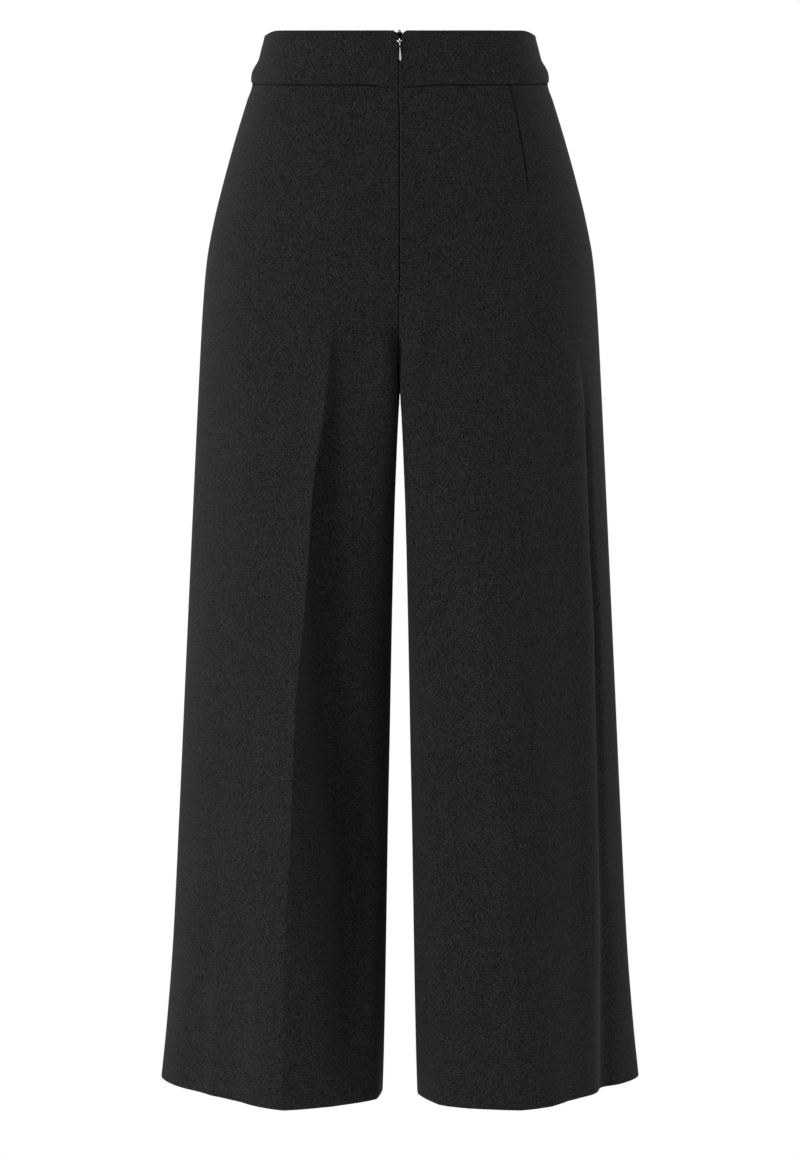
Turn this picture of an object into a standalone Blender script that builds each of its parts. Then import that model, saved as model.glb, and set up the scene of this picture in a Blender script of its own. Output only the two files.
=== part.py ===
"""Wide-leg culottes with a shaped waistband and a concealed centre-back zip.

Row frame: metres, +Z up, origin at the middle of the waist opening, level with
the band's top edge. +X is the wearer's right, +Y is the wearer's front.
The garment keeps the round, hollow form that it has when it is worn.

Tables are in millimetres, measured down from the top edge. A half of the body is
described with x counted outwards from the centre line, and mirrored for the left.
"""
import math

import bmesh
import bpy
from mathutils import Matrix, Vector

MM = 0.001
LEFT, RIGHT = -1, 1

SEAM_SETBACK = 0.15     # each piece stops this far short of its seam line
PANEL_WALL = 1.6        # heavy crepe with its pressed seam allowances
BAND_WALL = 2.4         # band and its facing, two layers of crepe
BAND_DEPTH = 48.4       # top edge to waist seam
FORK_Z = -345.0         # where the back, front and inner leg seams meet
HEM_Z = -1000.0
WAIST_DIP = 2.6         # waist seam hangs lower at the centre back
WAIST_DIP_WIDTH = 38.0
TOP_DIP_SIDE = 5.5      # top edge rolls down at the side seams
TOP_FLAT_TO = 112.0     # and is level up to here from the centre line
TOP_DIP_RUN = 14.5
TOP_DIP_FRONT = 8.0     # and is cut lower at the centre front
EDGE_ROLL = 0.7         # the top edge is turned over, so its outer corner is soft


class Sections:
    """Measurements listed from the waist down, read at any height along a smooth curve."""

    def __init__(self, columns, rows):
        rows = sorted(rows)
        self.heights = [row[0] for row in rows]
        self.values = {name: [row[i] for row in rows] for i, name in enumerate(columns)}
        self.slopes = {name: self.column_slopes(values) for name, values in self.values.items()}

    def column_slopes(self, values):
        """Slopes that keep the curve between its own rows, with no overshoot."""
        steps = [(b - a) / (hb - ha) for a, b, ha, hb in
                 zip(values, values[1:], self.heights, self.heights[1:])]
        slopes = [steps[0]]
        for before, after in zip(steps, steps[1:]):
            same_way = before * after > 0
            slopes.append(2 * before * after / (before + after) if same_way else 0.0)
        slopes.append(steps[-1])
        return slopes

    def at(self, name, z):
        heights, values, slopes = self.heights, self.values[name], self.slopes[name]
        z = min(max(z, heights[0]), heights[-1])
        i = max(k for k in range(len(heights) - 1) if heights[k] <= z)
        span = heights[i + 1] - heights[i]
        t = (z - heights[i]) / span
        return hermite(values[i], values[i + 1], slopes[i] * span, slopes[i + 1] * span, t)


def hermite(start, end, start_slope, end_slope, t):
    return ((1 + 2 * t) * (1 - t) ** 2 * start + t * (1 - t) ** 2 * start_slope
            + t * t * (3 - 2 * t) * end + t * t * (t - 1) * end_slope)


def hermite_slope(start, end, start_slope, end_slope, t):
    return (6 * t * (t - 1) * (start - end) + (1 - t) * (1 - 3 * t) * start_slope
            + t * (3 * t - 2) * end_slope)


def ease(low, high, value):
    t = min(max((value - low) / (high - low), 0.0), 1.0)
    return t * t * (3 - 2 * t)


def mix(a, b, t):
    return a + (b - a) * t


# ---------------------------------------------------------------- the garment's sections

# The side seam: half width of the body and how far back the seam lies.
SIDE = Sections(
    ("z", "x", "y"),
    [(0, 125.4, 0), (-6, 126.1, 0), (-17, 128.7, 0), (-28, 131.6, 0), (-34, 135.4, 0),
     (-40, 138.0, 0), (-45, 138.2, 0), (-49, 137.6, 0), (-65, 142.6, 0), (-100, 153.5, 0),
     (-140, 164.8, -1), (-175, 173.6, -2), (-212, 180.6, -3), (-250, 184.3, -4),
     (-325, 189.0, -5), (-440, 195.3, -6), (-590, 203.3, -7), (-750, 211.7, -8),
     (-870, 218.6, -8), (-950, 225.4, -8), (-1000, 230.8, -8)])

# Centre-back and centre-front seams, from the band down to the fork.
BACK_SEAM = Sections(
    ("z", "y"),
    [(0, -88), (-48, -95), (-100, -107), (-150, -117), (-200, -124), (-238, -126),
     (-262, -122), (-285, -112), (-304, -97), (-320, -76), (-332, -50), (-340, -24),
     (FORK_Z, 0)])
FRONT_SEAM = Sections(
    ("z", "y"),
    [(0, 86), (-48, 90), (-120, 99), (-200, 104), (-240, 101), (-270, 92), (-300, 75),
     (-320, 54), (-333, 33), (-341, 14), (FORK_Z, 0)])

# Half the gap between the legs, at the inner leg seam.
LEG_GAP = Sections(
    ("z", "x"),
    [(FORK_Z, 0.45), (-357, 1.4), (-375, 2.4), (-400, 3.5), (-432, 4.7), (-508, 6.6),
     (-584, 8.2), (-660, 9.6), (-737, 11.2), (-815, 12.5), (-893, 13.8), (-960, 15.2),
     (HEM_Z, 16.4)])

# Opening of the zip slit, half its width: the notch in the top edge, then the slit.
SLIT = Sections(
    ("z", "x"),
    [(0, 6.0), (-2, 3.6), (-4.7, 1.35), (-12, 1.25), (-30, 0.95), (-49, 0.5), (-75, SEAM_SETBACK),
     (FORK_Z, SEAM_SETBACK)])

# Each panel turns at a corner by the inner leg and at the pressed crease. Between them,
# and on to the side seam, it stands out from the straight line by a bulge. out_at is the
# place of the outer bulge between crease and side, ridge how sharp it is, and crisp how
# sharp the crease is.
PANEL_COLUMNS = ("z", "corner_x", "corner_y", "crease_x", "crease_y",
                 "in_bulge", "out_bulge", "out_at", "ridge", "crisp")
BACK_TOP = [
    (0, 25, -87.4, 55, -83.8, 0, 22, 0.5, 0, 0),
    (-48, 25, -94.4, 55, -90.2, 0, 24, 0.5, 0, 0),
    (-100, 25, -106.6, 55, -103.0, 0, 28, 0.5, 0, 0),
    (-150, 25, -116.8, 56, -113.6, 0, 31, 0.5, 0, 0),
    (-200, 24, -124.2, 57, -121.5, 0, 34, 0.5, 0, 0)]
BACK = {
    LEFT: Sections(PANEL_COLUMNS, BACK_TOP + [
        (-240, 20, -127.0, 57, -126.0, 0, 35, 0.5, 0, 0.0),
        (-270, 15, -124.5, 61, -127.0, -1, 34, 0.5, 0, 0.5),
        (-300, 14, -117.0, 65, -127.0, -3, 32, 0.5, 0, 0.9),
        (-345, 15, -103.0, 70, -126.0, -4, 29, 0.48, 0, 1.0),
        (-420, 15, -96.0, 80, -125.5, -5, 25, 0.46, 0, 1.0),
        (-520, 15, -92.0, 87, -125.0, -4, 21, 0.45, 0, 1.0),
        (-600, 16, -90.0, 95, -125.0, -2, 18, 0.45, 0, 1.0),
        (-770, 19, -88.0, 103, -125.0, 2, 14, 0.45, 0, 1.0),
        (-890, 21, -88.0, 109, -125.0, 4, 12, 0.45, 0, 1.0),
        (HEM_Z, 22, -88.0, 109.3, -124.7, 5.4, 11, 0.45, 0, 0.9)]),
    RIGHT: Sections(PANEL_COLUMNS, BACK_TOP + [
        (-240, 20, -127.0, 57, -126.0, 0, 35, 0.52, 0, 0),
        (-270, 15, -124.5, 60, -127.0, 0, 34, 0.55, 0, 0),
        (-300, 14, -118.0, 62, -127.0, 1, 32, 0.60, 0.05, 0.05),
        (-345, 15, -106.0, 64, -126.5, 2, 29, 0.65, 0.15, 0.15),
        (-420, 16, -103.0, 68, -126.0, 3, 25, 0.67, 0.35, 0.25),
        (-520, 18, -103.0, 73, -125.5, 3, 21, 0.68, 0.45, 0.3),
        (-620, 22, -105.0, 80, -125.0, 3, 18, 0.675, 0.5, 0.3),
        (-735, 29, -107.0, 94, -125.0, 3, 15, 0.64, 0.5, 0.35),
        (-860, 36, -108.0, 105, -124.6, 4, 11.5, 0.62, 0.45, 0.4),
        (HEM_Z, 40, -108.0, 113, -124.0, 5, 7.5, 0.64, 0.3, 0.5)])}
FRONT_SECTIONS = Sections(PANEL_COLUMNS, [
    (0, 25, 85.3, 58, 80.5, 0, 22, 0.5, 0, 0),
    (-48, 25, 89.3, 60, 84.5, 0, 24, 0.5, 0, 0),
    (-120, 25, 98.4, 64, 93.5, 0, 28, 0.5, 0, 0.05),
    (-200, 24, 103.8, 68, 100.5, 0, 31, 0.5, 0, 0.2),
    (-240, 19, 103.0, 71, 102.8, 0, 31, 0.5, 0, 0.5),
    (-270, 15, 98.5, 73, 104.0, 0, 30, 0.5, 0, 0.7),
    (-300, 14, 92.0, 76, 104.5, -1, 28, 0.5, 0, 0.8),
    (-345, 15, 84.0, 80, 105.0, -1, 26, 0.5, 0, 0.9),
    (-430, 16, 80.0, 86, 106.0, 0, 23, 0.5, 0, 0.9),
    (-560, 17, 79.0, 93, 107.5, 1, 19, 0.5, 0, 0.9),
    (-740, 20, 80.0, 103, 110.0, 2, 15, 0.5, 0, 0.9),
    (HEM_Z, 25, 82.0, 112, 114.0, 4, 11, 0.5, 0, 0.9)])
FRONT = {LEFT: FRONT_SECTIONS, RIGHT: FRONT_SECTIONS}


# ---------------------------------------------------------------- one section of one half

def seam_point(face, z):
    """The inner edge of a panel: centre seam above the fork, inner leg seam below it."""
    if z < FORK_Z:
        return Vector((LEG_GAP.at("x", z), 0.0))
    seam = BACK_SEAM if face == "back" else FRONT_SEAM
    edge_x = SLIT.at("x", z) if face == "back" else SEAM_SETBACK
    near_fork = ease(FORK_Z + 12, FORK_Z, z)
    return Vector((mix(edge_x, LEG_GAP.at("x", FORK_Z), near_fork), seam.at("y", z)))


def panel_keys(panel, face, z):
    """Points that a panel's section passes through, inner edge first, each with its kink."""
    seam = seam_point(face, z)
    corner = Vector((panel.at("corner_x", z), panel.at("corner_y", z)))
    crease = Vector((panel.at("crease_x", z), panel.at("crease_y", z)))
    side = Vector((SIDE.at("x", z), SIDE.at("y", z)))
    outward = -1.0 if face == "back" else 1.0
    below_fork = ease(-285, FORK_Z, z)

    inner = Vector((mix(seam.x, corner.x, mix(0.5, 0.04, below_fork)),
                    mix(seam.y, corner.y, mix(0.5, 0.66, below_fork))))

    def bulged(start, end, place, height):
        run = end - start
        across = Vector((-run.y, run.x)).normalized() * outward
        return start + run * place + across * height

    inner_mid = bulged(corner, crease, 0.5, panel.at("in_bulge", z))
    outer_mid = bulged(crease, side, panel.at("out_at", z), panel.at("out_bulge", z))
    seam_kink = ease(-240, -300, z) if z >= FORK_Z else 0.0
    return [(seam, seam_kink), (inner, 0.0), (corner, 0.0), (inner_mid, 0.0),
            (crease, panel.at("crisp", z)), (outer_mid, panel.at("ridge", z)), (side, 0.0)]


def half_section(leg, z):
    """Closed or mirrored chain of key points for one half, back edge to front edge."""
    back = panel_keys(BACK[leg], "back", z)
    front = panel_keys(FRONT[leg], "front", z)
    if z < FORK_Z:
        before, after = front[1][0], back[1][0]
    else:
        before = Vector((-back[1][0].x, back[1][0].y))
        after = Vector((-front[1][0].x, front[1][0].y))
    keys = back + front[-2::-1]
    points = [before] + [point for point, kink in keys] + [after]
    directions = []
    for i, (point, kink) in enumerate(keys):
        arriving, leaving = points[i + 1] - points[i], points[i + 2] - points[i + 1]
        run_in, run_out = max(arriving.length, 1e-6), max(leaving.length, 1e-6)
        smooth = (arriving / run_in * run_out + leaving / run_out * run_in) / (run_in + run_out)
        directions.append((smooth.lerp(arriving / run_in, kink), smooth.lerp(leaving / run_out, kink)))
    return [point for point, kink in keys], directions


def section_point(points, directions, piece, t):
    """Point and outward normal at fraction t of one piece of a section."""
    start, end = points[piece], points[piece + 1]
    run = (end - start).length
    leave, arrive = directions[piece][1] * run, directions[piece + 1][0] * run
    place = Vector([hermite(start[k], end[k], leave[k], arrive[k], t) for k in (0, 1)])
    heading = Vector([hermite_slope(start[k], end[k], leave[k], arrive[k], t) for k in (0, 1)])
    if t == 0 and piece > 0:
        heading = directions[piece][0].normalized() + directions[piece][1].normalized()
    if t == 1 and piece + 2 < len(points):
        heading = directions[piece + 1][0].normalized() + directions[piece + 1][1].normalized()
    heading.normalize()
    return place, Vector((heading.y, -heading.x))


# Columns of faces between one key point and the next, inner edge to side seam.
PANEL_CELLS = (2, 2, 2, 2, 3, 4)


def panel_column_places(face):
    """(piece, fraction) of every column of a panel, along the half section."""
    cells = list(PANEL_CELLS)
    first = 0
    if face == "front":
        cells.reverse()
        first = len(PANEL_CELLS)
    places = [(first, 0.0)]
    for i, count in enumerate(cells):
        places += [(first + i, (k + 1) / count) for k in range(count)]
    return places


def section_columns(leg, face, z):
    """Outer points and normals across a panel at one height, drawn back from its seams."""
    points, directions = half_section(leg, z)
    row = [section_point(points, directions, piece, t) for piece, t in panel_column_places(face)]
    inner_limit = points[0 if face == "back" else -1].x
    for place, normal in row:
        place.x = max(place.x, inner_limit)
    ends = (True, True) if z < FORK_Z else (face == "front", face == "back")
    for use, end, beside in zip(ends, (0, -1), (1, -2)):
        if use:
            place, normal = row[end]
            step = (row[beside][0] - place).normalized() * SEAM_SETBACK
            row[end] = (place + step, normal)
    return row


# ---------------------------------------------------------------- walls

def wall_object(name, rows, wall, material):
    """A sheet of (outer point, outward normal) rows, given its thickness inwards."""
    columns = len(rows[0])
    outer = [point for row in rows for point, normal in row]
    inner = [point - normal * wall for row in rows for point, normal in row]
    count = len(outer)

    def index(r, c):
        return r * columns + c

    faces = []
    for r in range(len(rows) - 1):
        for c in range(columns - 1):
            quad = [index(r, c), index(r, c + 1), index(r + 1, c + 1), index(r + 1, c)]
            faces += [quad, [count + i for i in reversed(quad)]]
    rim = [index(0, c) for c in range(columns)]
    rim += [index(r, columns - 1) for r in range(1, len(rows))]
    rim += [index(len(rows) - 1, c) for c in range(columns - 2, -1, -1)]
    rim += [index(r, 0) for r in range(len(rows) - 2, 0, -1)]
    for a, b in zip(rim, rim[1:] + rim[:1]):
        faces.append([b, a, count + a, count + b])

    mesh = bpy.data.meshes.new(name)
    mesh.from_pydata([p * MM for p in outer + inner], [], faces)
    if (rows[0][1][0] - rows[0][0][0]).cross(rows[1][0][0] - rows[0][0][0]).dot(rows[0][0][1]) < 0:
        mesh.flip_normals()
    mesh.shade_smooth()
    mesh.set_sharp_from_angle(angle=math.radians(35))
    mesh.materials.append(material)
    piece = bpy.data.objects.new(name, mesh)
    bpy.context.collection.objects.link(piece)
    return piece


def raised(leg, place, normal, z):
    return Vector((leg * place.x, place.y, z)), Vector((leg * normal.x, normal.y, 0))


PANEL_ROWS = (-48.7, -72, -102, -136, -170, -204, -234, -258, -277, -292, -305, -315, -324,
              -331.5, -337.5, -342, FORK_Z, -350, -359, -374, -398, -432, -476, -530, -590,
              -655, -720, -785, -850, -910, -960, HEM_Z)
BAND_ROWS = (0, -2, -4.7, -14, -25, -32, -38, -44, -BAND_DEPTH)
FRONT_BAND_ROWS = (0, -2, -14, -26, -36, -44, -BAND_DEPTH)


def waist_seam_dip(face, x):
    """How far the waist seam hangs below its level at distance x from the centre line."""
    return WAIST_DIP * ease(WAIST_DIP_WIDTH, 0, x) if face == "back" else 0.0


def top_edge_dip(face, x):
    side_roll = TOP_DIP_SIDE * min(max((x - TOP_FLAT_TO) / TOP_DIP_RUN, 0.0), 1.0) ** 2
    if face == "back":
        return side_roll
    return max(side_roll, mix(TOP_DIP_FRONT, TOP_DIP_SIDE, ease(40, 120, x)))


def panel_drop(face, x, z):
    return waist_seam_dip(face, x) * ease(-110, PANEL_ROWS[0], z)


def band_drop(face, x, z):
    return (top_edge_dip(face, x) * ease(-30, 0, z)
            + waist_seam_dip(face, x) * ease(-30, -BAND_DEPTH, z))


def half_rows(leg, face, heights, drop):
    """Rows of one half at the given heights, each point lowered by drop along the form."""
    rows = []
    for z in heights:
        row = []
        for column, (place, normal) in enumerate(section_columns(leg, face, z)):
            lower = drop(face, place.x, z)
            if lower > 0.01:
                place, normal = section_columns(leg, face, z - lower)[column]
            row.append(raised(leg, place, normal, z - lower))
        rows.append(row)
    return rows


def leg_panel(name, leg, face, material):
    return wall_object(name, half_rows(leg, face, PANEL_ROWS, panel_drop), PANEL_WALL, material)


def band_rows(leg, face, heights):
    """Rows of one half of the band, rolled in a little at its top edge."""
    rows = half_rows(leg, face, heights, band_drop)
    rows[0] = [(point - normal * EDGE_ROLL, normal) for point, normal in rows[0]]
    return rows


def back_band(name, leg, material):
    return wall_object(name, band_rows(leg, "back", BAND_ROWS), BAND_WALL, material)


def front_band(name, material):
    rows = []
    for left, right in zip(band_rows(LEFT, "front", FRONT_BAND_ROWS),
                           band_rows(RIGHT, "front", FRONT_BAND_ROWS)):
        middle, normal = right[-1]
        middle.x = 0.0
        rows.append(left[:-1] + [(middle, normal)] + right[-2::-1])
    return wall_object(name, rows, BAND_WALL, material)


# ---------------------------------------------------------------- zip

ZIP_END_Z = -203.0
TAPE_ROWS = (-3, -13, -28, -42, -54, -66, -85, -110, -140, -172, ZIP_END_Z)
COIL_ROWS = (-13.4, -28, -42, -54, -66, -85, -110, -140, -172, ZIP_END_Z)
TAPE_EDGES = (3.2, 8.0, 13.0)      # inner edge, middle and outer edge, from the centre line
TAPE_WALL = 1.0
COIL_HALF_WIDTH = 2.8
COIL_WALL = 1.8

HINGE_Z = -8.6                     # the pull's eye turns on the slider's bridge here
HINGE_STAND_OFF = 1.1              # out from the band's face
BAND_LEAN = math.atan2(95 - 88, 48)
BRIDGE_HALF_WIDTH = 0.5
BRIDGE_RADIUS = 1.75
BRIDGE_WINDOW = 0.95
BRIDGE_REACH = 4.6
SLIDER_LOW = (-2.8, 3.9, -3.6)     # corners of the slider's body, from the hinge
SLIDER_HIGH = (2.8, 6.4, 7.4)
NOSE_RADIUS = 1.35
NOSE_CENTRE_Z = 8.35
NOSE_FROM_Y, NOSE_TO_Y = 4.3, 5.7

PULL_WALL = 0.9
PULL_END_RADIUS = 1.95
PULL_END_DOWN = 17.75              # centre of the round end, below the hinge
PULL_OUTLINE = (                   # (down from the hinge, half width)
    (-0.45, 1.25), (0.2, 2.05), (0.9, 2.05), (2.6, 1.0), (3.4, 0.78), (5.2, 0.75),
    (5.8, 0.55), (7.0, 0.6), (9.0, 0.92), (12.0, 1.4), (15.0, 1.78), (17.0, 1.93))
EYE_HALF_WIDTH = 0.87
EYE_TOP, EYE_BOTTOM = 0.43, 2.12
EYE_CORNER = 0.3


def inside_back(leg, z, x, depth):
    """A point below the back's outer face, x out from the centre line, and its normal."""
    points, directions = half_section(leg, z)
    piece = 0 if x < points[1].x else 1
    start, end = points[piece], points[piece + 1]
    place, normal = section_point(points, directions, piece, (x - start.x) / (end.x - start.x))
    return raised(leg, place - normal * depth, normal, z)


def inside_wall(z):
    """Just clear of the band's inner face above the waist seam, and of the panel's below."""
    return mix(PANEL_WALL, BAND_WALL, ease(-66, -54, z)) + 0.35


def zip_tape(name, leg, material):
    rows = [[inside_back(leg, z, x, inside_wall(z)) for x in TAPE_EDGES] for z in TAPE_ROWS]
    return wall_object(name, rows, TAPE_WALL, material)


def zip_coil(name, material):
    rows = []
    outward = Vector((0, -1, 0))
    for z in COIL_ROWS:
        y = BACK_SEAM.at("y", z) + inside_wall(z)
        rows.append([(Vector((x, y, z)), outward) for x in (-COIL_HALF_WIDTH, 0, COIL_HALF_WIDTH)])
    return wall_object(name, rows, COIL_WALL, material)


def zip_frame():
    """The slider's own frame: origin on the hinge, +Y into the garment, leaning with the band."""
    face_y = BACK_SEAM.at("y", HINGE_Z)
    place = Vector((0, face_y - HINGE_STAND_OFF, HINGE_Z)) * MM
    return Matrix.Translation(place) @ Matrix.Rotation(-BAND_LEAN, 4, "X")


def arc(centre, radius, start, end, steps):
    angles = [math.radians(start + (end - start) * i / steps) for i in range(steps + 1)]
    return [(centre[0] + radius * math.cos(a), centre[1] + radius * math.sin(a)) for a in angles]


def pierced_plate(name, outline, hole, placed):
    """A flat plate with one hole; placed(a, b, side) puts an outline point on side -1 or +1."""
    shape = bmesh.new()
    for loop in (outline, hole):
        corners = [shape.verts.new(Vector(placed(a, b, -1)) * MM) for a, b in loop]
        for one, other in zip(corners, corners[1:] + corners[:1]):
            shape.edges.new((one, other))
    bmesh.ops.triangle_fill(shape, use_beauty=True, use_dissolve=False, edges=shape.edges[:])
    made = bmesh.ops.extrude_face_region(shape, geom=shape.faces[:])
    far = Vector(placed(0, 0, 1)) - Vector(placed(0, 0, -1))
    moved = [thing for thing in made["geom"] if isinstance(thing, bmesh.types.BMVert)]
    bmesh.ops.translate(shape, verts=moved, vec=far * MM)
    bmesh.ops.recalc_face_normals(shape, faces=shape.faces[:])
    mesh = bpy.data.meshes.new(name)
    shape.to_mesh(mesh)
    shape.free()
    piece = bpy.data.objects.new(name, mesh)
    bpy.context.collection.objects.link(piece)
    return piece


def joined_in(piece, part, material):
    """Adds a helper solid to a piece by a union; the helper itself is only a guide."""
    part.matrix_world = piece.matrix_world
    part.hide_render = True
    part.display_type = "WIRE"
    part.data.materials.append(material)
    union = piece.modifiers.new(part.name, "BOOLEAN")
    union.operation = "UNION"
    union.solver = "EXACT"
    union.object = part


def slider_body():
    bpy.ops.mesh.primitive_cube_add(size=1)
    body = bpy.context.object
    body.name = "slider_body_guide"
    low, high = Vector(SLIDER_LOW) * MM, Vector(SLIDER_HIGH) * MM
    for vertex in body.data.vertices:
        vertex.co = (low + high) / 2 + Vector(a * b for a, b in zip(vertex.co, high - low))
    edges = body.modifiers.new("edges", "BEVEL")
    edges.width = 0.7 * MM
    edges.segments = 2
    return body


def slider_nose():
    middle = Vector((0, (NOSE_FROM_Y + NOSE_TO_Y) / 2, NOSE_CENTRE_Z)) * MM
    turned = Matrix.Translation(middle) @ Matrix.Rotation(math.pi / 2, 4, "X")
    bpy.ops.mesh.primitive_cylinder_add(vertices=20, radius=NOSE_RADIUS * MM,
                                        depth=(NOSE_TO_Y - NOSE_FROM_Y) * MM)
    nose = bpy.context.object
    nose.name = "slider_nose_guide"
    nose.data.transform(turned)
    return nose


def zip_slider(name, material):
    bridge = arc((0, 0), BRIDGE_RADIUS, 270, 90, 12)
    bridge += [(BRIDGE_REACH, BRIDGE_RADIUS), (BRIDGE_REACH, -BRIDGE_RADIUS)]
    window = arc((0, 0), BRIDGE_WINDOW, 0, 337.5, 15)
    slider = pierced_plate(name, bridge, window, lambda y, z, side: (side * BRIDGE_HALF_WIDTH, y, z))
    slider.matrix_world = zip_frame()
    slider.data.materials.append(material)
    joined_in(slider, slider_body(), material)
    joined_in(slider, slider_nose(), material)
    return slider


def rounded_hole():
    corners = ((1, EYE_BOTTOM, -1, 270), (1, EYE_TOP, 1, 0), (-1, EYE_TOP, 1, 90),
               (-1, EYE_BOTTOM, -1, 180))
    points = []
    for side, down, inward, start in corners:
        centre = (side * (EYE_HALF_WIDTH - EYE_CORNER), -down - inward * EYE_CORNER)
        points += arc(centre, EYE_CORNER, start, start + 90, 3)
    return points


def zip_pull(name, material):
    right_side = [(half, -down) for down, half in PULL_OUTLINE]
    end = arc((0, -PULL_END_DOWN), PULL_END_RADIUS, 0, -180, 12)
    outline = right_side + end + [(-x, z) for x, z in reversed(right_side)]
    pull = pierced_plate(name, outline, rounded_hole(),
                         lambda x, z, side: (x, side * PULL_WALL / 2, z))
    pull.matrix_world = zip_frame()
    pull.data.materials.append(material)
    return pull


# ---------------------------------------------------------------- materials

def principled(name, colour, roughness, metallic):
    material = bpy.data.materials.new(name)
    material.use_nodes = True
    shader = material.node_tree.nodes["Principled BSDF"]
    shader.inputs["Base Color"].default_value = (*colour, 1.0)
    shader.inputs["Roughness"].default_value = roughness
    shader.inputs["Metallic"].default_value = metallic
    return material


# ---------------------------------------------------------------- build

def clear_scene():
    for thing in list(bpy.data.objects):
        bpy.data.objects.remove(thing, do_unlink=True)


def main():
    clear_scene()
    crepe = (0.017, 0.017, 0.018)
    for name, leg, face in (("back_left", LEFT, "back"), ("back_right", RIGHT, "back"),
                            ("front_left", LEFT, "front"), ("front_right", RIGHT, "front")):
        leg_panel(name, leg, face, principled(name, crepe, 0.85, 0.0))
    for name, leg in (("waistband_back_left", LEFT), ("waistband_back_right", RIGHT)):
        back_band(name, leg, principled(name, crepe, 0.85, 0.0))
    front_band("waistband_front", principled("waistband_front", crepe, 0.85, 0.0))
    for name, leg in (("zip_tape_left", LEFT), ("zip_tape_right", RIGHT)):
        zip_tape(name, leg, principled(name, (0.012, 0.012, 0.013), 0.8, 0.0))
    zip_coil("zip_coil", principled("zip_coil", (0.015, 0.015, 0.016), 0.4, 0.0))
    zip_slider("zip_slider", principled("zip_slider", (0.16, 0.16, 0.17), 0.3, 1.0))
    zip_pull("zip_pull", principled("zip_pull", (0.35, 0.35, 0.37), 0.22, 1.0))


main()
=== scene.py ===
import math

import bpy
import numpy as np
from mathutils import Matrix, Vector


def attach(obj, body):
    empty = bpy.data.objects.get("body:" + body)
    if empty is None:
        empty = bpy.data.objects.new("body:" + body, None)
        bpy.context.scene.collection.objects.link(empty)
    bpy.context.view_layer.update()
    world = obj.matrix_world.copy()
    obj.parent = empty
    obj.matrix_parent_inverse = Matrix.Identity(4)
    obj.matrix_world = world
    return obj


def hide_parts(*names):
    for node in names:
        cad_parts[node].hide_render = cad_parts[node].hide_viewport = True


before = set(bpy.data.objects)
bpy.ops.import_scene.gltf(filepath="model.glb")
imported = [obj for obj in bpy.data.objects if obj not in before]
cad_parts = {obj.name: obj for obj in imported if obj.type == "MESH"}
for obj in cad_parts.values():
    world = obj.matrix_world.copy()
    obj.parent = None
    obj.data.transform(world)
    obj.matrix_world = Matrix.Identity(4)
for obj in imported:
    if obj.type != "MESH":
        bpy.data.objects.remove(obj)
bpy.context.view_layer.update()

# Black crepe culottes seen from the back, with a shaped waistband and a concealed zip.
# Lengths in the tables are millimetres, counted down from the top edge. A half of the
# body is described with x outwards from the centre line, and mirrored for the left.
mm = 0.001
left, right = -1, 1
forkZ = -337.5
hemZ = -1000.0


# Sizes listed down the garment and read at any height along a smooth curve.
class Measures:
    def __init__(self, columns, rows):
        rows = np.array(sorted(rows), float)
        self.heights = rows[:, 0]
        self.values = {}
        self.slopes = {}
        for i, name in enumerate(columns):
            values = rows[:, i]
            steps = np.diff(values) / np.diff(self.heights)
            before, after = steps[:-1], steps[1:]
            both = np.where(before * after > 0, before + after, 1.0)
            inner = np.where(before * after > 0, 2 * before * after / both, 0.0)
            self.values[name] = values
            self.slopes[name] = np.concatenate([steps[:1], inner, steps[-1:]])

    def at(self, name, z):
        i, t = placed(self.heights, z)
        span = self.heights[i + 1] - self.heights[i]
        values, slopes = self.values[name], self.slopes[name]
        return hermite(values[i], values[i + 1], slopes[i] * span, slopes[i + 1] * span, t)


# The row at or below each height, and the share of the way from there to the next row.
def placed(heights, z):
    z = np.clip(z, heights[0], heights[-1])
    i = np.clip(np.searchsorted(heights, z, side="right") - 1, 0, len(heights) - 2)
    return i, (z - heights[i]) / (heights[i + 1] - heights[i])


def hermite(start, end, startSlope, endSlope, t):
    return ((1 + 2 * t) * (1 - t) ** 2 * start + t * (1 - t) ** 2 * startSlope
            + t * t * (3 - 2 * t) * end + t * t * (t - 1) * endSlope)


def ease(low, high, value):
    t = np.clip((value - low) / (high - low), 0.0, 1.0)
    return t * t * (3 - 2 * t)


def mix(a, b, t):
    return a + (b - a) * t


def readTable(table, z):
    heights, values = zip(*sorted(table))
    return np.interp(z, heights, values)


# The body that the cloth stands round. These are the CAD part's measurements, but for the
# fork of the legs, which is 7.5 mm higher, and the left panel's inner corner beside it.
sideSeam = Measures(
    ("z", "x", "y"),
    [(0, 125.4, 0), (-6, 126.1, 0), (-17, 128.7, 0), (-28, 131.6, 0), (-34, 135.4, 0),
     (-40, 138.0, 0), (-45, 138.2, 0), (-49, 137.6, 0), (-65, 142.6, 0), (-100, 153.5, 0),
     (-140, 164.8, -1), (-175, 173.6, -2), (-212, 180.6, -3), (-250, 184.3, -4),
     (-325, 189.0, -5), (-440, 195.3, -6), (-590, 203.3, -7), (-750, 211.7, -8),
     (-870, 218.6, -8), (-950, 225.4, -8), (-1000, 230.8, -8)])
backSeam = Measures(
    ("z", "y"),
    [(0, -88), (-48, -95), (-100, -107), (-150, -117), (-200, -124), (-238, -126),
     (-262, -122), (-283, -112), (-299, -97), (-314, -76), (-325, -50), (-332.5, -24),
     (forkZ, 0)])
frontSeam = Measures(
    ("z", "y"),
    [(0, 86), (-48, 90), (-120, 99), (-200, 104), (-240, 101), (-268, 92), (-295, 75),
     (-314, 54), (-326, 33), (-333.5, 14), (forkZ, 0)])
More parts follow.
